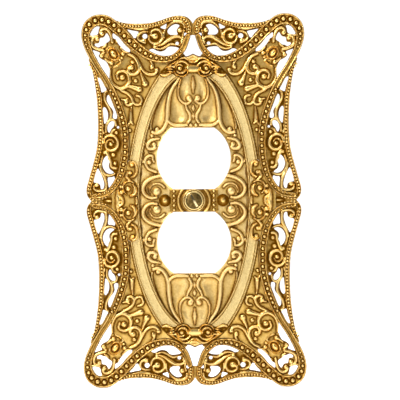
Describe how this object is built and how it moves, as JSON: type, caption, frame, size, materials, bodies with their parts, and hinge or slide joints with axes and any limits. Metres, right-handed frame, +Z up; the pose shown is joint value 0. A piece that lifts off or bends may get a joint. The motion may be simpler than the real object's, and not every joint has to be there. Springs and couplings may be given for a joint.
{
  "type": "wall plate cover",
  "caption": "Ornate antique-gold duplex receptacle wall plate: pierced rococo casting with beaded rails, plain straps, cup ring and slotted oval-head screw",
  "frame": {"origin": "where the mounting screw's axis crosses the wall plane, at the middle of the back of the plate", "axes": "+X to the right seen from the front, +Y into the wall the way the screw goes in, +Z up along the plate's height; the decorated front faces -Y"},
  "size_m": [0.1034, 0.0171, 0.173],
  "materials": {
    "antique_gold": "satin",
    "polished_gold": "polished",
    "bronzed_screw": "polished"
  },
  "bodies": {
    "plate": {"beaded_rail_top_left": "antique_gold", "beaded_rail_top_right": "antique_gold", "beaded_rail_bottom_left": "antique_gold", "beaded_rail_bottom_right": "antique_gold", "cresting_top_left": "antique_gold", "cresting_top_right": "antique_gold", "cresting_bottom_left": "antique_gold", "cresting_bottom_right": "antique_gold", "side_filigree_top_left": "antique_gold", "side_filigree_top_right": "antique_gold", "side_filigree_bottom_left": "antique_gold", "side_filigree_bottom_right": "antique_gold", "corner_cartouche_top_left": "antique_gold", "corner_cartouche_top_right": "antique_gold", "corner_cartouche_bottom_left": "antique_gold", "corner_cartouche_bottom_right": "antique_gold", "corner_panel_top_left": "antique_gold", "corner_panel_top_right": "antique_gold", "corner_panel_bottom_left": "antique_gold", "corner_panel_bottom_right": "antique_gold", "strap_left": "antique_gold", "strap_right": "antique_gold", "crown_top": "antique_gold", "crown_bottom": "antique_gold", "side_ornament_left": "antique_gold", "side_ornament_right": "antique_gold", "oval_panel": "antique_gold", "screw_bridge": "antique_gold"},
    "cup": {"cup_ring": "polished_gold"},
    "screw": {"mounting_screw": "bronzed_screw"}
  },
  "joints": [
    {"name": "screw_travel", "type": "slide", "parent": "plate", "child": "cup", "axis": [0, -1, 0], "range_m": [0, 0.00953]},
    {"name": "screw_turn", "type": "hinge", "parent": "cup", "child": "screw", "pos_m": [0, 0, 0], "axis": [0, -1, 0], "range_deg": [0, 4320]}
  ],
  "couplings": [
    {"joint": "screw_turn", "follows": "screw_travel", "rad_per_m": 7915.8}
  ]
}
